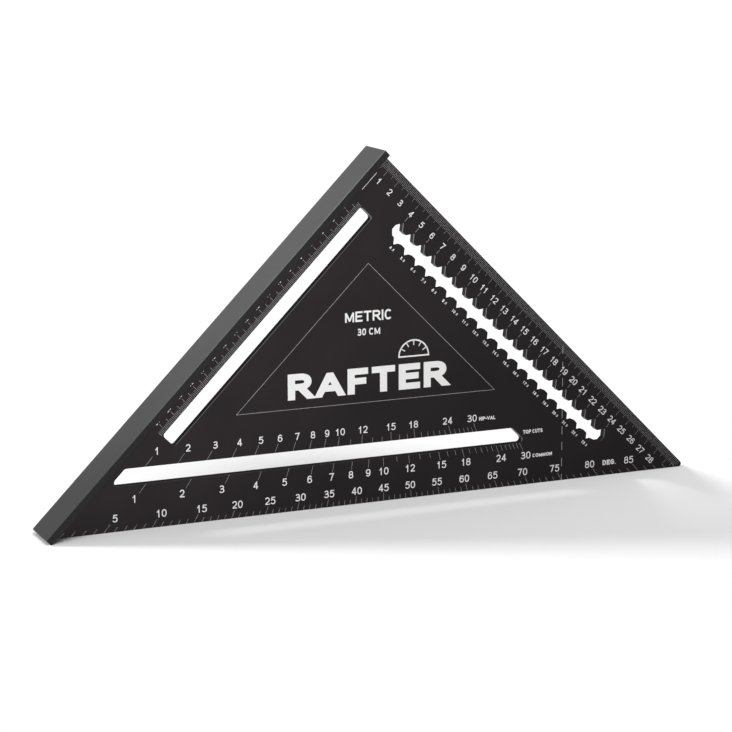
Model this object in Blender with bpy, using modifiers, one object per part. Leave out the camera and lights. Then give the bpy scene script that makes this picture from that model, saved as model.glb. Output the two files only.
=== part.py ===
"""Speed square (large metric rafter square), standing on its long edge.

Two pieces: a flat triangular blade, and a flange bar called the fence that grips one leg of the blade
in a groove. The drawing plane has x along the ruler leg and y along the fence leg, both measured from
the pivot, which is the inner corner between the two legs. Metres, +Z up, front face towards -Y.
"""
import math

import bmesh
import bpy
from mathutils import Vector

# Overall sizes
LEG = 0.304                 # both legs of the blade, pivot to sharp corner
BLADE_T = 0.005             # plate thickness
FENCE_T = 0.0048            # bar thickness, outside the leg
FENCE_W = 0.0286            # bar width, across the blade
TIP_R = 0.0018              # rounding of the sharp corner at the ruler's end
EDGE_BREAK = 0.0003         # chamfer on every edge of the blade
FENCE_CHAMFER = 0.0005      # chamfer on every outer edge of the fence

# Groove joint between the two pieces
TONGUE = 0.0014             # how far the blade enters the fence
FIT_GAP = 0.0003            # clearance all round the tongue

# Plain slots
SLOT_W = 0.010              # width of both plain slots
FENCE_SLOT_X = 0.0122       # fence slot: side nearest the fence
FENCE_SLOT_Y = (0.0320, 0.2137)
FENCE_SLOT_R = 0.0018
LONG_SLOT_RISE = 0.0275     # long slot: height of its lower side above the long edge
LONG_SLOT_X = 0.0080        # left end, parallel to the fence
LONG_SLOT_Y = 0.0627        # right end, parallel to the ruler edge
LONG_SLOT_R = 0.0022

# Scribing slot: V notches every centimetre on the ruler side and at the half centimetres opposite
PITCH = 0.010
NOTCHES = range(4, 25)
NOTCH_DEPTH = 0.0042
NOTCH_HALF = 0.0033
SCRIBE_X = 0.0372           # left end
SCRIBE_Y = (0.0249, 0.0309)
SCRIBE_END = 0.0028         # 45 degree cut at both inner ends
NOTCH_TIP_R = 0.0003
TOOTH_R = 0.0008

ARC_STEP = math.radians(30)
ROOT_2 = math.sqrt(2)


def clear_scene():
    """Start from an empty scene."""
    for obj in list(bpy.data.objects):
        bpy.data.objects.remove(obj, do_unlink=True)


def new_collection(name):
    """A collection linked to the scene."""
    collection = bpy.data.collections.new(name)
    bpy.context.scene.collection.children.link(collection)
    return collection


def anodised(name, value):
    """Satin black anodised aluminium."""
    material = bpy.data.materials.new(name)
    material.use_nodes = True
    shader = material.node_tree.nodes["Principled BSDF"]
    shader.inputs["Base Color"].default_value = (value, value, value * 1.03, 1)
    shader.inputs["Roughness"].default_value = 0.45
    shader.inputs["Metallic"].default_value = 0.7
    return material


def fillet(before, corner, after, radius):
    """Points that round one corner of an outline with an arc."""
    to_before = (before - corner).normalized()
    to_after = (after - corner).normalized()
    half_angle = to_before.angle(to_after) / 2
    centre = corner + (to_before + to_after).normalized() * radius / math.sin(half_angle)
    start = corner + to_before * radius / math.tan(half_angle) - centre
    turn = math.pi - 2 * half_angle
    if to_before.cross(to_after) > 0:
        turn = -turn
    steps = max(1, math.ceil(abs(turn) / ARC_STEP))
    points = []
    for step in range(steps + 1):
        angle = turn * step / steps
        cos, sin = math.cos(angle), math.sin(angle)
        points.append(centre + Vector((start.x * cos - start.y * sin, start.x * sin + start.y * cos)))
    return points


def rounded(corners):
    """Closed outline from (x, y, radius) corners."""
    spots = [Vector(corner[:2]) for corner in corners]
    points = []
    for index, (x, y, radius) in enumerate(corners):
        if radius:
            after = spots[(index + 1) % len(spots)]
            points += fillet(spots[index - 1], spots[index], after, radius)
        else:
            points.append(spots[index])
    return points


def blade_outline():
    """Triangle with a tongue along the fence leg."""
    return rounded([
        (-TONGUE, 0, 0),
        (LEG, 0, TIP_R),
        (0, LEG, 0),
        (-TONGUE, LEG, 0),
    ])


def fence_slot():
    """Plain slot beside the fence."""
    near, far = FENCE_SLOT_X, FENCE_SLOT_X + SLOT_W
    start, end = FENCE_SLOT_Y
    radius = FENCE_SLOT_R
    return rounded([(near, start, radius), (near, end, radius), (far, end, radius), (far, start, radius)])


def long_slot():
    """Plain slot parallel to the long edge, each end cut parallel to its own leg."""
    low = LEG - LONG_SLOT_RISE * ROOT_2
    high = low - SLOT_W * ROOT_2
    radius = LONG_SLOT_R
    return rounded([
        (LONG_SLOT_X, high - LONG_SLOT_X, radius),
        (LONG_SLOT_X, low - LONG_SLOT_X, radius),
        (low - LONG_SLOT_Y, LONG_SLOT_Y, radius),
        (high - LONG_SLOT_Y, LONG_SLOT_Y, radius),
    ])


def notch(x, y, depth):
    """One V notch, going along +x, as corners for rounded()."""
    return [(x - NOTCH_HALF, y, TOOTH_R), (x, y + depth, NOTCH_TIP_R), (x + NOTCH_HALF, y, TOOTH_R)]


def scribing_slot():
    """Slot with whole-centimetre notches on one side and half-centimetre notches on the other."""
    ruler_side, inner_side = SCRIBE_Y
    right = NOTCHES[-1] * PITCH + NOTCH_HALF
    ruler_notches = []
    for count in NOTCHES:
        ruler_notches += notch(count * PITCH, ruler_side, -NOTCH_DEPTH)
    ruler_notches[0] = (SCRIBE_X, ruler_side, TOOTH_R)
    inner_notches = []
    for count in NOTCHES[:-1]:
        inner_notches += notch((count + 0.5) * PITCH, inner_side, NOTCH_DEPTH)
    left_end = [(SCRIBE_X, inner_side - SCRIBE_END, TOOTH_R), (SCRIBE_X + SCRIBE_END, inner_side, TOOTH_R)]
    right_end = [(right - SCRIBE_END, inner_side, TOOTH_R), (right, inner_side - SCRIBE_END, TOOTH_R)]
    along_inner_side = left_end + inner_notches + right_end
    return rounded(along_inner_side + ruler_notches[::-1])


def place(obj, collection, frame, material):
    """Put an object into its collection, under the standing frame, with its material."""
    collection.objects.link(obj)
    obj.parent = frame
    obj.data.materials.append(material)


def make_blade(collection, frame):
    """Flat plate with three slots and broken edges."""
    curve = bpy.data.curves.new("blade", "CURVE")
    curve.dimensions = "2D"
    curve.fill_mode = "BOTH"
    curve.extrude = BLADE_T / 2 - EDGE_BREAK
    curve.bevel_depth = EDGE_BREAK
    curve.bevel_resolution = 0
    curve.offset = -EDGE_BREAK
    for points in (blade_outline(), fence_slot(), long_slot(), scribing_slot()):
        spline = curve.splines.new("POLY")
        spline.points.add(len(points) - 1)
        spline.use_cyclic_u = True
        for spot, point in zip(spline.points, points):
            spot.co = (point.x, point.y, 0, 1)
    blade = bpy.data.objects.new("blade", curve)
    place(blade, collection, frame, anodised("blade_black_anodised", 0.030))
    weld = blade.modifiers.new("Weld", "WELD")
    weld.merge_threshold = 0.00001


def box(name, low, high):
    """Box object between two corners."""
    low, high = Vector(low), Vector(high)
    bm = bmesh.new()
    bmesh.ops.create_cube(bm, size=1)
    bmesh.ops.scale(bm, vec=high - low, verts=bm.verts)
    bmesh.ops.translate(bm, vec=(low + high) / 2, verts=bm.verts)
    mesh = bpy.data.meshes.new(name)
    bm.to_mesh(mesh)
    bm.free()
    return bpy.data.objects.new(name, mesh)


def make_groove_cutter(collection, frame):
    """Box that cuts the fence's groove, longer than the fence."""
    depth = TONGUE + FIT_GAP
    half_width = BLADE_T / 2 + FIT_GAP
    overrun = FENCE_T
    cutter = box("groove_cutter", (-depth, -overrun, -half_width), (overrun, LEG + overrun, half_width))
    collection.objects.link(cutter)
    cutter.parent = frame
    cutter.hide_render = True
    cutter.display_type = "WIRE"
    return cutter


def make_fence(collection, frame, cutter):
    """Flange bar. Its lower end is chamfered level with the blade's long edge, to stand on."""
    low = (-FENCE_T, 0, -FENCE_W / 2)
    high = (0, LEG + FENCE_CHAMFER, FENCE_W / 2)
    fence = box("fence", low, high)
    place(fence, collection, frame, anodised("fence_black_anodised", 0.038))
    chamfer = fence.modifiers.new("Chamfer", "BEVEL")
    chamfer.width = FENCE_CHAMFER
    chamfer.segments = 1
    groove = fence.modifiers.new("Groove", "BOOLEAN")
    groove.operation = "DIFFERENCE"
    groove.object = cutter


def standing_frame(collection):
    """Empty that stands the drawing plane on the long edge, centred over the part's box."""
    fence_end = LEG + FENCE_T
    tip_end = LEG - 2 * TIP_R
    frame = bpy.data.objects.new("speed_square_frame", None)
    frame.location = ((fence_end - tip_end) / 2 / ROOT_2, 0, LEG / ROOT_2)
    frame.rotation_euler = (math.radians(-90), math.radians(45), 0)
    collection.objects.link(frame)
    return frame


def main():
    clear_scene()
    parts = new_collection("speed_square")
    cutters = new_collection("speed_square_cutters")
    frame = standing_frame(parts)
    make_blade(parts, frame)
    cutter = make_groove_cutter(cutters, frame)
    make_fence(parts, frame, cutter)


main()
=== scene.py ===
"""Looks of the speed square: anodised metal, laser-marked scales and lettering, floor, light and camera.

Drawing on the plate is in millimetres. A point (x, z) is measured from the foot of the square corner:
x along the long edge towards the ruler's tip, z up. Scales beside a leg use (v, u) instead: v along the
ruler edge and u along the fence, both from the square corner. Lettering has its top towards `up`.
"""
import math

import bmesh
import bpy
from mathutils import Matrix, Vector


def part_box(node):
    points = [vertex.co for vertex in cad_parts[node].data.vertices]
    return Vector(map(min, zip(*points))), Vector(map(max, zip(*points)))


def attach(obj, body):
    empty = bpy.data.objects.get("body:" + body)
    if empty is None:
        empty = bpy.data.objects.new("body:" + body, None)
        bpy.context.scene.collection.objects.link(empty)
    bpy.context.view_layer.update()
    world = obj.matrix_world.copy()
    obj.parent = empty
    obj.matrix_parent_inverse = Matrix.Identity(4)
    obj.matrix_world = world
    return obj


MM = 0.001
ROOT_2 = math.sqrt(2)
TONGUE = 1.4                # how far the blade's top corner stands beyond the square corner, along the leg
FRONT, BACK = -1, 1

# Marks
LIFT = 0.03                 # height of every mark above the plate
FINE, RULER_FINE = 0.155, 0.12     # widths of the graduation lines
OVERLAP = 0.008             # step in height between crossing strokes
EDGE_GAP = 0.15             # marks stop this far from the edge of the plate

# Ruler along the outer leg: distances in from the edge
RULER_MM, RULER_HALF, RULER_CM = 5.35, 7.25, 9.25
RULER_LAST = 29             # centimetres
RULER_TIP = 2               # lines near the sharp corner stop this far from the long edge
RULER_SHORTEST = 1
RULER_NUMBER_U = 13.4
RULER_NUMBER_CAP = 4.0
NOTCH_DASH = (16.25, 19.25)
NOTCH_DASH_WIDTH = 0.19
NOTCH_LABEL_U = 36.85
NOTCH_LABEL_CAP = 1.9
NOTCH_HALF_CAP = 0.8        # size of the ".5", as a share of the number's
NOTCH_NUMBER_SHIFT = -0.45  # places along a label, in cap heights
NOTCH_HALF_SHIFTS = (0.85, 1.25)    # after one digit and after two
NOTCHES = range(4, 25)

# Scale along the fence slot: distances out from the fence
FENCE_SLOT_V = 11.9
FENCE_MM, FENCE_HALF, FENCE_CM = 8.7, 6.75, 6.1
FENCE_SCALE = range(32, 215)        # millimetres
FENCE_NUMBERS = range(4, 22)        # centimetres
FENCE_NUMBER_V = 3.83
FENCE_NUMBER_CAP = 2.3
CORNER_LINE_V, CORNER_LINE_U = 5.35, (10.75, 24.25)
CORNER_LINE_WIDTH = 0.3

# Radial scales: (line foot, long line end, short line end, number height, number cap)
DEGREES = (0.0, 5.05, 3.0, 8.3, 4.6)
COMMON = (27.2, 22.05, 23.85, 18.9, 4.6)
HIP = (37.6, 43.3, 40.9, 46.4, 4.4)
DEGREE_SIGHT, COMMON_SIGHT, HIP_SIGHT = 8.7, 18.2, 46.4     # height at which numbers meet their radial line
RAFTER_LONG = (1, 2, 3, 4, 5, 6, 7, 8, 9, 10, 12, 15, 18, 24, 30)      # rises with a long line and a number
COMMON_RUN, HIP_RUN = 10, 10 * ROOT_2

# Dashed line at right angles to the long edge
DASHED_X = 124.1
DASHED_TOP, DASHED_PITCH = 4.1, 10.4        # top of the lowest dash, and step from dash to dash
DASHED_COUNT, DASHED_IN_SLOT = 9, 5         # the sixth would fall in the scribing slot
DASHED_LENGTH, DASHED_WIDTH = 5.3, 0.35
DASHED_FOOT = 0.2

# Lettering weights, as shares of the cap height
REGULAR = 0.137
MEDIUM = 0.18
SMALL = 0.21                # the notch labels, which are too small for thin strokes
BOLD = 0.25
GAP = 0.13                  # between characters, in cap heights
ROUNDNESS = 2.3             # exponent of the bowls: 2 is an ellipse
BOW_STEP = 18               # degrees
MITRE = 0.5                 # sharper turns than this cosine of the half angle are bevelled
SHARPEST = 0.3              # least cosine used for a bevel's reach
LEVEL = 0.01                # a stroke this near to level, as a slope, ends on a side of its letter
TOUCHING = 0.001            # points this close together meet, in cap heights

# Words: text, middle (x, z), cap, width, and weight where it varies
DEGREE_NAME = ("DEG.", 158.75, 3.3, 9.75)           # x only, because it is level with its numbers
SCALE_NAMES = (
    ("COMMON", (110.15, 18.25), 2.3, 13.9),
    ("HIP-VAL", (71.05, 45.6), 2.4, 11.3),
    ("TOP CUTS", (103.3, 34.1), 2.5, 13.85),
)
PANEL_WORDS = (
    ("METRIC", (-9.55, 116.8), 6.4, 31.1, MEDIUM),
    ("30 CM", (-9.45, 107.15), 4.3, 15, MEDIUM),
    ("RAFTER", (-9.8, 77.0), 16.0, 106, BOLD),
)
PANEL_CORNERS = ((-9.6, 149.0), (-96.0, 63.4), (76.0, 63.4))
PANEL_LINE = 0.22
PROTRACTOR_AT, PROTRACTOR_RADIUS = (20.5, 89.5), 10.0
PROTRACTOR_RIM, PROTRACTOR_SPOKE = 0.9, 0.6         # line widths
PROTRACTOR_INNER = 0.68                             # where a spoke starts, as a share of the radius

# Metal: how squarely a surface faces front or back, where a wall ends and where a face begins
WALL_ENDS = (0.2, 0.4)
FACE_BEGINS = (0.85, 0.97)
HIGHLIGHT_SIDE = (-0.75, -0.45)  # sideways tilt of the edges with the full painted highlight, and of those with hardly any
# share of the painted edge highlight left on edges that don't face -X
FAINT_HIGHLIGHT = 0.05
FACE_ROUGHNESS = (0.42, 0.54)
WALL_UNEVENNESS = 0.04

# Floor, light and camera
SUN_FROM = (-0.580, 0.565, 0.604)
SUN_POWER, SUN_SIZE = 2.1, 14.0
OVERHEAD_FROM = (0.0, -0.60, 1.0)
OVERHEAD_POWER, OVERHEAD_SIZE = 1.88, 30
ROOM_SIDES, ROOM_TOP = 0.07, 0.60
ROOM_CEILING = (0.3, 0.9)   # upward part of a direction, where the ceiling starts and where it is full
FLOOR = 0.80
FLOOR_UNEVENNESS = 0.01
FLOOR_SIZE = 40             # metres
SOFTBOX_TARGET = (-0.106, 0.0, 0.107)               # middle of the fence
KEY = ((-0.377, -0.270, 0.878), 0.35, 1.5)          # each softbox: position, side, watts
KEY_SPREAD = 45
BLADE_KEY = ((-0.280, -0.260, 0.320), 0.25, 3.2)
BACK_LEFT = ((-0.250, 1.080, 0.660), 0.5, 1.45)
CAMERA_AT = (-0.5846, -1.3168, 0.3785)
CAMERA_TURN, CAMERA_PITCH, CAMERA_ROLL = -23.670, -11.524, -0.278
LENS = 118.45
FAR_CLIP = 200


def bow(centre_x, centre_y, radius_x, radius_y, start, end):
    """Points along a squarish arc, angles in degrees anticlockwise from +x."""
    steps = max(2, round(abs(end - start) / BOW_STEP))
    points = []
    for step in range(steps + 1):
        angle = math.radians(start + (end - start) * step / steps)
        cos, sin = math.cos(angle), math.sin(angle)
        x = math.copysign(abs(cos) ** (2 / ROUNDNESS), cos)
        y = math.copysign(abs(sin) ** (2 / ROUNDNESS), sin)
        points.append((centre_x + radius_x * x, centre_y + radius_y * y))
    return points


# Each character: body width in cap heights, then strokes in a unit box
GLYPHS = {
    "0": (0.66, [bow(0.5, 0.5, 0.5, 0.5, 90, 450)]),
    "1": (0.66, [[(0.62, 0), (0.62, 1)], [(0.12, 0.70), (0.40, 0.80), (0.58, 0.97)]]),
    "2": (0.66, [bow(0.5, 0.71, 0.48, 0.29, 172, -28) + [(0.62, 0.34), (0.2, 0.14), (0.02, 0), (1, 0)]]),
    "3": (0.66, [bow(0.47, 0.755, 0.43, 0.245, 160, -90) + [(0.32, 0.51)],
                 [(0.32, 0.545)] + bow(0.47, 0.27, 0.53, 0.27, 90, -165)]),
    "4": (0.70, [[(0.74, 1), (0, 0.26), (1, 0.26)], [(0.74, 0), (0.74, 1)]]),
    "5": (0.66, [[(0.94, 1), (0.2, 1), (0.1, 0.5)], bow(0.47, 0.335, 0.53, 0.335, 138, -160)]),
    "6": (0.66, [bow(0.5, 0.31, 0.5, 0.31, 180, 540), bow(0.53, 0.5, 0.53, 0.5, 35, 180) + [(0, 0.31)]]),
    "7": (0.66, [[(0, 1), (1, 1), (0.62, 0.5), (0.36, 0)]]),
    "8": (0.66, [bow(0.5, 0.765, 0.42, 0.235, 90, 450), bow(0.5, 0.27, 0.5, 0.27, 90, 450)]),
    "9": (0.66, [bow(0.5, 0.69, 0.5, 0.31, 180, 540), bow(0.47, 0.5, 0.53, 0.5, 215, 360) + [(1, 0.69)]]),
    "A": (0.96, [[(0, 0), (0.5, 1), (1, 0)], [(0.2, 0.27), (0.8, 0.27)]]),
    "C": (0.80, [bow(0.5, 0.5, 0.5, 0.5, 42, 318)]),
    "D": (0.86, [[(0, 0), (0, 1)], [(0, 1)] + bow(0.4, 0.5, 0.6, 0.5, 90, -90) + [(0, 0)]]),
    "E": (0.76, [[(1, 0), (0, 0), (0, 1), (1, 1)], [(0, 0.52), (0.9, 0.52)]]),
    "F": (0.72, [[(0, 0), (0, 1), (1, 1)], [(0, 0.5), (0.86, 0.5)]]),
    "G": (0.96, [bow(0.5, 0.5, 0.5, 0.5, 42, 345) + [(1, 0.46), (0.56, 0.46)]]),
    "H": (0.82, [[(0, 0), (0, 1)], [(1, 0), (1, 1)], [(0, 0.5), (1, 0.5)]]),
    "I": (0.0, [[(0, 0), (0, 1)]]),
    "L": (0.70, [[(0, 1), (0, 0), (1, 0)]]),
    "M": (0.96, [[(0, 0), (0, 1), (0.5, 0.05), (1, 1), (1, 0)]]),
    "N": (0.82, [[(0, 0), (0, 1), (1, 0), (1, 1)]]),
    "O": (0.98, [bow(0.5, 0.5, 0.5, 0.5, 90, 450)]),
    "P": (0.80, [[(0, 0), (0, 1)], [(0, 1)] + bow(0.5, 0.74, 0.5, 0.26, 90, -90) + [(0, 0.48)]]),
    "R": (0.84, [[(0, 0), (0, 1)], [(0, 1)] + bow(0.5, 0.74, 0.46, 0.26, 90, -90) + [(0, 0.48)],
                 [(0.5, 0.48), (1, 0)]]),
    "S": (0.80, [bow(0.5, 0.755, 0.46, 0.245, 28, 255) + bow(0.5, 0.26, 0.5, 0.26, 75, -158)]),
    "T": (0.82, [[(0, 1), (1, 1)], [(0.5, 0), (0.5, 1)]]),
    "U": (0.82, [[(0, 1)] + bow(0.5, 0.36, 0.5, 0.36, 180, 360) + [(1, 1)]]),
    "V": (0.94, [[(0, 1), (0.5, 0), (1, 1)]]),
    "-": (0.40, [[(0, 0.38), (1, 0.38)]]),
    ".": (0.0, [[(0, 0), (0, 0.01)]]),
    " ": (0.26, []),
}


def normal(start, end):
    """Unit vector to the left of a segment."""
    along = (end - start).normalized()
    return Vector((-along.y, along.x))


def cross_sections(points, half):
    """Left and right edge points of a stroke, bevelled at sharp turns."""
    closed = (points[0] - points[-1]).length < half / 100
    if closed:
        points = points[:-1]
    count = len(points)
    sections = []
    for index, point in enumerate(points):
        has_before = closed or index > 0
        has_after = closed or index < count - 1
        before = normal(points[index - 1], point) if has_before else None
        after = normal(point, points[(index + 1) % count]) if has_after else None
        before = before or after
        after = after or before
        middle = (before + after).normalized()
        reach = half / max(middle.dot(after), SHARPEST)
        if middle.dot(after) > MITRE:
            sections.append((point + middle * reach, point - middle * reach))
            continue
        turns_left = before.cross(after) > 0
        for side in (before, after):
            left = point + (middle * reach if turns_left else side * half)
            right = point - (side * half if turns_left else middle * reach)
            sections.append((left, right))
    if closed:
        sections.append(sections[0])
    return sections


def clip(polygon, level, sign):
    """The part of a polygon above (sign 1) or below (sign -1) a height."""
    kept = []
    for index, point in enumerate(polygon):
        last = polygon[index - 1]
        inside = (point.y - level) * sign >= 0
        if inside != ((last.y - level) * sign >= 0):
            share = (level - last.y) / (point.y - last.y)
            kept.append(last.lerp(point, share))
        if inside:
            kept.append(point)
    return kept


def stretched_ends(points, half):
    """A stroke whose ends run on to the edge of its letter."""
    points = [point.copy() for point in points]
    for end, inner in ((0, 1), (-1, -2)):
        along = (points[end] - points[inner]).normalized()
        if abs(along.y) < LEVEL:
            points[end] += along * half
        elif min(abs(points[end].y - half), abs(points[end].y - 1 + half)) < TOUCHING:
            points[end] += along * half * 2
    return points


def glyph_faces(character, weight):
    """Polygons of a character on a baseline from x = 0, one cap high, and its width."""
    width, strokes = GLYPHS[character]
    half = weight / 2
    width = max(width, weight)
    faces = []
    for layer, stroke in enumerate(strokes):
        spots = [Vector((half + x * (width - weight), half + y * (1 - weight))) for x, y in stroke]
        if (spots[0] - spots[-1]).length > TOUCHING:
            spots = stretched_ends(spots, half)
        sections = cross_sections(spots, half)
        for (left, right), (next_left, next_right) in zip(sections, sections[1:]):
            polygon = clip(clip([left, right, next_right, next_left], 0, 1), 1, -1)
            if len(polygon) > 2:
                faces.append((layer, polygon))
    return faces, width


class Sheet:
    """Marks on one face of the plate, gathered into one mesh."""

    def __init__(self, name, side, material):
        self.name = name + ("_front" if side == FRONT else "_back")
        self.side = side
        self.material = material
        self.mesh = bmesh.new()

    def face(self, points, layer=0):
        """One polygon from (x, z) points."""
        height = plate_half + (LIFT + layer * OVERLAP) * MM
        verts = [
            self.mesh.verts.new((square_corner + point.x * MM, self.side * height, point.y * MM))
            for point in points
        ]
        self.mesh.faces.new(verts)

    def line(self, start, end, width):
        """A straight line."""
        start, end = Vector(start), Vector(end)
        offset = normal(start, end) * width / 2
        self.face([start + offset, start - offset, end - offset, end + offset])

    def loop(self, corners, width):
        """A closed outline."""
        points = [Vector(corner) for corner in corners]
        sections = cross_sections(points + points[:1], width / 2)
        for (left, right), (next_left, next_right) in zip(sections, sections[1:]):
            self.face([left, right, next_right, next_left])

    def text(self, words, centre, cap, weight, up=(0, 1), width=None, shift=0):
        """Lettering centred on a point, or `shift` cap heights along from it, fitted to any given width."""
        up = Vector(up).normalized()
        right = Vector((up.y, -up.x)) * -self.side
        placed = []
        pen = 0
        for character in words:
            faces, body = glyph_faces(character, weight)
            placed.append((faces, pen))
            pen += body + GAP
        natural = (pen - GAP) * cap
        stretch = width / natural if width else 1
        origin = Vector(centre) + right * (shift * cap - natural * stretch / 2) - up * cap / 2
        for faces, start in placed:
            for layer, polygon in faces:
                corners = [
                    origin + right * (start + point.x) * cap * stretch + up * point.y * cap
                    for point in polygon
                ]
                self.face(corners, layer)

    def done(self):
        """Turn the marks into a piece that goes with the blade."""
        bmesh.ops.recalc_face_normals(self.mesh, faces=self.mesh.faces)
        for face in self.mesh.faces:
            if face.normal.y * self.side < 0:
                face.normal_flip()
        mesh = bpy.data.meshes.new(self.name)
        self.mesh.to_mesh(mesh)
        self.mesh.free()
        mesh.materials.append(self.material)
        piece = bpy.data.objects.new(self.name, mesh)
        bpy.context.scene.collection.objects.link(piece)
        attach(piece, "root")


def on_plate(v, u):
    """(x, z) of a point measured along the two legs."""
    return Vector(((v - u) / ROOT_2, (leg - u - v) / ROOT_2))


def radial(angle, height):
    """(x, z) of the point at a height on the line at an angle from the fence, through the square corner."""
    return Vector((math.tan(angle - math.pi / 4) * (leg / ROOT_2 - height), height))


def tick(sheet, angle, foot, end):
    """A graduation on a radial line."""
    sheet.line(radial(angle, foot), radial(angle, end), FINE)


def ruler_lines(side):
    """Millimetre, half-centimetre and centimetre lines along the ruler edge."""
    sheet = Sheet("ruler_lines", side, fine_mark)
    for mm in range(1, RULER_LAST * 10 + 10):
        reach = RULER_MM
        if mm % 5 == 0:
            reach = RULER_HALF
        if mm % 10 == 0 and mm <= RULER_LAST * 10:
            reach = RULER_CM
        reach = min(reach, leg - mm - RULER_TIP)
        if reach > RULER_SHORTEST:
            sheet.line(on_plate(mm, EDGE_GAP), on_plate(mm, reach), RULER_FINE)
    sheet.done()


def ruler_numbers(side):
    """Centimetre numbers, their dashes and the half-centimetre labels."""
    sheet = Sheet("ruler_numbers", side, lettering)
    dashes = Sheet("notch_dashes", side, fine_mark)
    to_edge = (1, 1)
    for cm in range(1, RULER_LAST):
        sheet.text(str(cm), on_plate(cm * 10, RULER_NUMBER_U), RULER_NUMBER_CAP, REGULAR, to_edge)
    for cm in NOTCHES:
        dashes.line(on_plate(cm * 10, NOTCH_DASH[0]), on_plate(cm * 10, NOTCH_DASH[1]), NOTCH_DASH_WIDTH)
    for cm in NOTCHES[:-1]:
        middle = on_plate(cm * 10 + 5, NOTCH_LABEL_U)
        half_shift = NOTCH_HALF_SHIFTS[len(str(cm)) - 1]
        sheet.text(str(cm), middle, NOTCH_LABEL_CAP, SMALL, to_edge, shift=NOTCH_NUMBER_SHIFT)
        sheet.text(".5", middle, NOTCH_LABEL_CAP * NOTCH_HALF_CAP, SMALL, to_edge, shift=half_shift)
    sheet.done()
    dashes.done()


def fence_lines(side):
    """Millimetre scale between the fence and its slot."""
    sheet = Sheet("fence_lines", side, fine_mark)
    for mm in FENCE_SCALE:
        end = FENCE_MM
        if mm % 5 == 0:
            end = FENCE_HALF
        if mm % 10 == 0:
            end = FENCE_CM
        sheet.line(on_plate(FENCE_SLOT_V, mm), on_plate(end, mm), FINE)
    sheet.done()


def fence_numbers(side):
    """Centimetre numbers beside the fence, and the short line near the square corner."""
    sheet = Sheet("fence_numbers", side, lettering)
    to_fence = (-1, 1)
    for cm in FENCE_NUMBERS:
        sheet.text(str(cm), on_plate(FENCE_NUMBER_V, cm * 10), FENCE_NUMBER_CAP, REGULAR, to_fence)
    start, end = CORNER_LINE_U
    sheet.line(on_plate(CORNER_LINE_V, start), on_plate(CORNER_LINE_V, end), CORNER_LINE_WIDTH)
    sheet.done()


def degree_scale(side):
    """Degrees from the fence, along the long edge."""
    lines = Sheet("degree_lines", side, fine_mark)
    numbers = Sheet("degree_numbers", side, lettering)
    foot, long_end, short_end, height, cap = DEGREES
    for degree in range(1, 90):
        angle = math.radians(degree)
        labelled = degree % 5 == 0
        tick(lines, angle, foot + EDGE_GAP, long_end if labelled else short_end)
        if labelled:
            numbers.text(str(degree), (radial(angle, DEGREE_SIGHT).x, height), cap, REGULAR)
    words, x, words_cap, width = DEGREE_NAME
    numbers.text(words, (x, height), words_cap, BOLD, width=width)
    lines.done()
    numbers.done()


def rafter_scale(name, side, layout, run, sight):
    """Rise per `run` of a common or hip rafter, beside the long slot."""
    lines = Sheet(name + "_lines", side, fine_mark)
    numbers = Sheet(name + "_numbers", side, lettering)
    foot, long_end, short_end, height, cap = layout
    for rise in range(1, RAFTER_LONG[-1] + 1):
        angle = math.atan2(rise, run)
        labelled = rise in RAFTER_LONG
        tick(lines, angle, foot, long_end if labelled else short_end)
        if labelled:
            numbers.text(str(rise), (radial(angle, sight).x, height), cap, REGULAR)
    lines.done()
    numbers.done()


def scale_names(side):
    """Names of the scales."""
    sheet = Sheet("scale_names", side, lettering)
    for words, middle, cap, width in SCALE_NAMES:
        sheet.text(words, middle, cap, BOLD, width=width)
    sheet.done()


def dashed_line(side):
    """Dashed line at right angles to the long edge."""
    sheet = Sheet("dashed_line", side, fine_mark)
    for count in range(DASHED_COUNT):
        if count == DASHED_IN_SLOT:
            continue
        top = DASHED_TOP + DASHED_PITCH * count
        foot = max(DASHED_FOOT, top - DASHED_LENGTH)
        sheet.line((DASHED_X, foot), (DASHED_X, top), DASHED_WIDTH)
    sheet.done()


def panel(side):
    """Outlined triangle with the plain name of the tool and a protractor symbol."""
    outline = Sheet("panel_outline", side, fine_mark)
    outline.loop(PANEL_CORNERS, PANEL_LINE)
    outline.done()
    sheet = Sheet("panel_lettering", side, lettering)
    for words, middle, cap, width, weight in PANEL_WORDS:
        sheet.text(words, middle, cap, weight, width=width)
    protractor(sheet, Vector(PROTRACTOR_AT), PROTRACTOR_RADIUS)
    sheet.done()


def protractor(sheet, centre, radius):
    """Plain half-circle protractor symbol, with a spoke every 30 degrees."""
    rim = []
    for degree in range(0, 181, 10):
        angle = math.radians(degree)
        spoke = Vector((math.cos(angle), math.sin(angle)))
        rim.append(centre + spoke * radius)
        if degree % 30 == 0 and 0 < degree < 180:
            start = centre + spoke * radius * PROTRACTOR_INNER
            sheet.line(start, centre + spoke * radius, PROTRACTOR_SPOKE)
    sheet.loop(rim, PROTRACTOR_RIM)


def noise(nodes, links, coordinates, scale, detail):
    """Noise value at the given coordinates."""
    texture = nodes.new("ShaderNodeTexNoise")
    texture.inputs["Scale"].default_value = scale
    texture.inputs["Detail"].default_value = detail
    links.new(coordinates, texture.inputs["Vector"])
    return texture.outputs["Fac"]


def remap(nodes, links, value, low, high, from_low=0.3, from_high=0.7):
    """Value moved from one range, by default that of most noise, to another, and kept inside it."""
    node = nodes.new("ShaderNodeMapRange")
    node.inputs["From Min"].default_value = from_low
    node.inputs["From Max"].default_value = from_high
    node.inputs["To Min"].default_value = low
    node.inputs["To Max"].default_value = high
    links.new(value, node.inputs["Value"])
    return node.outputs["Result"]


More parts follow.
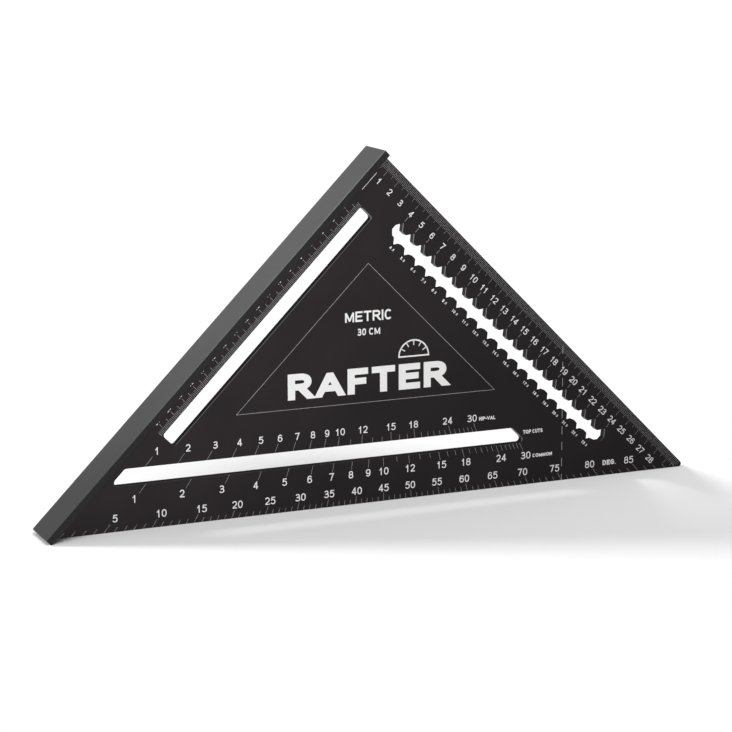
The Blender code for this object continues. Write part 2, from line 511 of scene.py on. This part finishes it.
def mixed_colour(nodes, links, factor, first, second):
    """Blend of two colours or colour sockets."""
    node = nodes.new("ShaderNodeMix")
    node.data_type = "RGBA"
    links.new(factor, node.inputs["Factor"])
    first_socket, second_socket, result = node.inputs[6], node.inputs[7], node.outputs[2]   # the colour ones
    for socket, colour in ((first_socket, first), (second_socket, second)):
        if isinstance(colour, tuple):
            socket.default_value = (*colour, 1)
        else:
            links.new(colour, socket)
    return result


def product(nodes, links, first, second):
    """Two values multiplied."""
    node = nodes.new("ShaderNodeMath")
    node.operation = "MULTIPLY"
    links.new(first, node.inputs[0])
    links.new(second, node.inputs[1])
    return node.outputs[0]


def bumped(nodes, links, height, strength, distance, normal_in=None):
    """Normal from a height value."""
    node = nodes.new("ShaderNodeBump")
    node.inputs["Strength"].default_value = strength
    node.inputs["Distance"].default_value = distance
    links.new(height, node.inputs["Height"])
    if normal_in:
        links.new(normal_in, node.inputs["Normal"])
    return node.outputs["Normal"]


def new_material(name):
    """Empty node material: its nodes, links and shader."""
    material = bpy.data.materials.new(name)
    material.use_nodes = True
    tree = material.node_tree
    return material, tree.nodes, tree.links, tree.nodes["Principled BSDF"]


def anodised(name, dark, light, edge, gloss, wall_roughness, wall_shade=None):
    """Satin black anodised aluminium: blasted grain, faint handling marks, a painted highlight on the -X
    edges, and painted shade on the walls when a wall colour is given.
    """
    material, nodes, links, shader = new_material(name)
    where = nodes.new("ShaderNodeTexCoord").outputs["Object"]
    geometry = nodes.new("ShaderNodeNewGeometry")
    tilt = nodes.new("ShaderNodeSeparateXYZ")
    links.new(geometry.outputs["True Normal"], tilt.inputs["Vector"])
    facing = nodes.new("ShaderNodeMath")
    facing.operation = "ABSOLUTE"
    links.new(tilt.outputs["Y"], facing.inputs[0])
    off_walls = remap(nodes, links, facing.outputs[0], 0, 1, *WALL_ENDS)
    off_faces = remap(nodes, links, facing.outputs[0], 1, 0, *FACE_BEGINS)
    chamfers = product(nodes, links, off_walls, off_faces)
    # Edges that face -X take the light edge colour as a painted highlight, fading to a trace on edges that
    # face other ways.
    highlight_side = remap(nodes, links, tilt.outputs["X"], 1, FAINT_HIGHLIGHT, *HIGHLIGHT_SIDE)
    edge_highlight = product(nodes, links, chamfers, highlight_side)
    clouds = noise(nodes, links, where, scale=22, detail=5)
    colour = mixed_colour(nodes, links, remap(nodes, links, clouds, 0, 1), dark, light)
    colour = mixed_colour(nodes, links, edge_highlight, colour, edge)
    # Side walls of the blade take a darker colour than its faces: painted shade in the slots and along the
    # outer edges.
    if wall_shade:
        colour = mixed_colour(nodes, links, off_walls, wall_shade, colour)
    links.new(colour, shader.inputs["Base Color"])
    smudges = noise(nodes, links, where, scale=9, detail=6)
    faces = remap(nodes, links, smudges, *FACE_ROUGHNESS)
    walls = remap(nodes, links, smudges, wall_roughness - WALL_UNEVENNESS, wall_roughness + WALL_UNEVENNESS)
    roughness = nodes.new("ShaderNodeMix")
    links.new(off_walls, roughness.inputs["Factor"])
    links.new(walls, roughness.inputs["A"])
    links.new(faces, roughness.inputs["B"])
    links.new(roughness.outputs["Result"], shader.inputs["Roughness"])
    grain = noise(nodes, links, where, scale=2600, detail=2)
    ripple = noise(nodes, links, where, scale=900, detail=3)
    surface = bumped(nodes, links, grain, strength=0.25, distance=0.00005)
    surface = bumped(nodes, links, ripple, strength=0.15, distance=0.00004, normal_in=surface)
    links.new(surface, shader.inputs["Normal"])
    shader.inputs["Metallic"].default_value = 0.0
    shader.inputs["Specular IOR Level"].default_value = gloss
    return material


def laser_mark(name, dark, light):
    """Bleached anodising: matt, with the faint unevenness of the laser's passes."""
    material, nodes, links, shader = new_material(name)
    where = nodes.new("ShaderNodeTexCoord").outputs["Object"]
    passes = noise(nodes, links, where, scale=1500, detail=3)
    colour = mixed_colour(nodes, links, remap(nodes, links, passes, 0, 1), dark, light)
    links.new(colour, shader.inputs["Base Color"])
    links.new(remap(nodes, links, passes, low=0.5, high=0.7), shader.inputs["Roughness"])
    links.new(bumped(nodes, links, passes, strength=0.2, distance=0.00003), shader.inputs["Normal"])
    shader.inputs["Specular IOR Level"].default_value = 0.3
    return material


def pale_floor():
    """Large plain floor."""
    mesh = bmesh.new()
    bmesh.ops.create_grid(mesh, x_segments=1, y_segments=1, size=FLOOR_SIZE)
    data = bpy.data.meshes.new("floor")
    mesh.to_mesh(data)
    mesh.free()
    floor = bpy.data.objects.new("floor", data)
    bpy.context.scene.collection.objects.link(floor)
    material, nodes, links, shader = new_material("floor_paper")
    where = nodes.new("ShaderNodeTexCoord").outputs["Object"]
    tone = noise(nodes, links, where, scale=300, detail=2)
    dark, light = (FLOOR - FLOOR_UNEVENNESS,) * 3, (FLOOR + FLOOR_UNEVENNESS,) * 3
    colour = mixed_colour(nodes, links, tone, dark, light)
    links.new(colour, shader.inputs["Base Color"])
    shader.inputs["Roughness"].default_value = 1.0
    shader.inputs["Specular IOR Level"].default_value = 0.0
    data.materials.append(material)
    return floor


def room():
    """World of a dim studio with a brighter ceiling, and white where the camera looks."""
    world = bpy.data.worlds.new("room")
    world.use_nodes = True
    nodes, links = world.node_tree.nodes, world.node_tree.links
    direction = nodes.new("ShaderNodeSeparateXYZ")
    links.new(nodes.new("ShaderNodeTexCoord").outputs["Generated"], direction.inputs["Vector"])
    seen = nodes.new("ShaderNodeMath")
    seen.operation = "MAXIMUM"
    brightness = remap(nodes, links, direction.outputs["Z"], ROOM_SIDES, ROOM_TOP, *ROOM_CEILING)
    links.new(brightness, seen.inputs[0])
    links.new(nodes.new("ShaderNodeLightPath").outputs["Is Camera Ray"], seen.inputs[1])
    links.new(seen.outputs[0], nodes["Background"].inputs["Strength"])
    nodes["Background"].inputs["Color"].default_value = (1, 1, 1, 1)
    bpy.context.scene.world = world


def lamp(name, kind, energy, towards_light):
    """A light that shines from one direction."""
    data = bpy.data.lights.new(name, kind)
    data.energy = energy
    light = bpy.data.objects.new(name, data)
    light.rotation_euler = Vector(towards_light).to_track_quat("Z", "Y").to_euler()
    light.visible_camera = False
    bpy.context.scene.collection.objects.link(light)
    return light


def softbox(name, layout, receivers):
    """Square light aimed at the middle of the fence."""
    position, side, watts = layout
    light = lamp(name, "AREA", watts, Vector(position) - Vector(SOFTBOX_TARGET))
    light.location = position
    light.data.size = side
    light.light_linking.receiver_collection = receivers
    return light


def linked(name, state, *objects):
    """Collection that includes objects in a light or shadow, or excludes them from it."""
    collection = bpy.data.collections.new(name)
    for obj in objects:
        collection.objects.link(obj)
    for entry in collection.collection_objects:
        entry.light_linking.link_state = state
    return collection


def studio_light(floor, blade, fence):
    """Soft sun from behind on the fence's side, an overhead sun for the floor, and three softboxes."""
    sun = lamp("sun", "SUN", SUN_POWER, SUN_FROM)
    sun.data.angle = math.radians(SUN_SIZE)
    overhead = lamp("overhead", "SUN", OVERHEAD_POWER, OVERHEAD_FROM)
    overhead.data.angle = math.radians(OVERHEAD_SIZE)
    overhead.light_linking.receiver_collection = linked("floor_only", "INCLUDE", floor)
    softbox("back_left", BACK_LEFT, linked("fence_only", "INCLUDE", fence))
    blade_key = softbox("blade_key", BLADE_KEY, linked("blade_only", "INCLUDE", blade))
    key = softbox("key", KEY, linked("fence_and_marks", "EXCLUDE", floor, blade))
    key.data.spread = math.radians(KEY_SPREAD)
    not_fence = linked("not_fence", "EXCLUDE", fence)
    key.light_linking.blocker_collection = not_fence
    blade_key.light_linking.blocker_collection = not_fence
    bpy.context.scene.view_settings.view_transform = "Standard"


def camera():
    """The photographer's place, low and to the left."""
    data = bpy.data.cameras.new("camera")
    data.lens = LENS
    data.clip_end = FAR_CLIP
    view = bpy.data.objects.new("camera", data)
    view.location = CAMERA_AT
    turn = Matrix.Rotation(math.radians(CAMERA_TURN), 4, "Z")
    pitch = Matrix.Rotation(math.radians(90 + CAMERA_PITCH), 4, "X")
    roll = Matrix.Rotation(math.radians(CAMERA_ROLL), 4, "Z")
    view.rotation_euler = (turn @ pitch @ roll).to_euler()
    bpy.context.scene.collection.objects.link(view)
    bpy.context.scene.camera = view


def metals(frame):
    """Finish the two CAD pieces."""
    blade = anodised(
        "blade_anodised",
        dark=(0.0125, 0.0103, 0.0110),
        light=(0.0160, 0.0132, 0.0141),
        # painted highlight on the blade's edges that face -X, along the teeth of the slots
        edge=(0.16, 0.16, 0.16),
        gloss=0.07,
        wall_roughness=0.20,
        # painted shade on the blade's side walls
        wall_shade=(0.005, 0.005, 0.005),
    )
    fence = anodised(
        "fence_anodised",
        dark=(0.0115, 0.0115, 0.0118),
        light=(0.0145, 0.0145, 0.0148),
        edge=(0.07, 0.07, 0.07),
        gloss=0.18,
        # painted highlight on the fence's edges that face -X, such as its front outer chamfer
        wall_roughness=0.48,
    )
    for node, material in (("blade", blade), ("fence", fence)):
        frame["nodes"][node].data.materials.clear()
        frame["nodes"][node].data.materials.append(material)


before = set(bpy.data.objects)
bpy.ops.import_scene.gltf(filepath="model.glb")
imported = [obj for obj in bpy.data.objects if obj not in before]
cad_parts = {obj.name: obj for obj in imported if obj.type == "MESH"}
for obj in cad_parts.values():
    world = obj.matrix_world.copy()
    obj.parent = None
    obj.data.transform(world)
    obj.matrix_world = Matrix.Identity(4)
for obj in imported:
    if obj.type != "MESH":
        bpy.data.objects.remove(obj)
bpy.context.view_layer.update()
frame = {"nodes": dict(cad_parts)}
blade_low, blade_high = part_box("blade")
plate_half = blade_high.y
leg = blade_high.z / MM * ROOT_2 - TONGUE
square_corner = blade_low.x + blade_high.z

metals(frame)
lettering = laser_mark("lettering", dark=(0.66, 0.66, 0.655), light=(0.74, 0.74, 0.735))
fine_mark = laser_mark("fine_lines", dark=(0.30, 0.30, 0.30), light=(0.38, 0.38, 0.38))
for face_side in (FRONT, BACK):
    ruler_lines(face_side)
    ruler_numbers(face_side)
    fence_lines(face_side)
    fence_numbers(face_side)
    degree_scale(face_side)
    rafter_scale("common", face_side, COMMON, COMMON_RUN, COMMON_SIGHT)
    rafter_scale("hip", face_side, HIP, HIP_RUN, HIP_SIGHT)
    scale_names(face_side)
    dashed_line(face_side)
panel(FRONT)
room()
studio_light(pale_floor(), frame["nodes"]["blade"], frame["nodes"]["fence"])
camera()
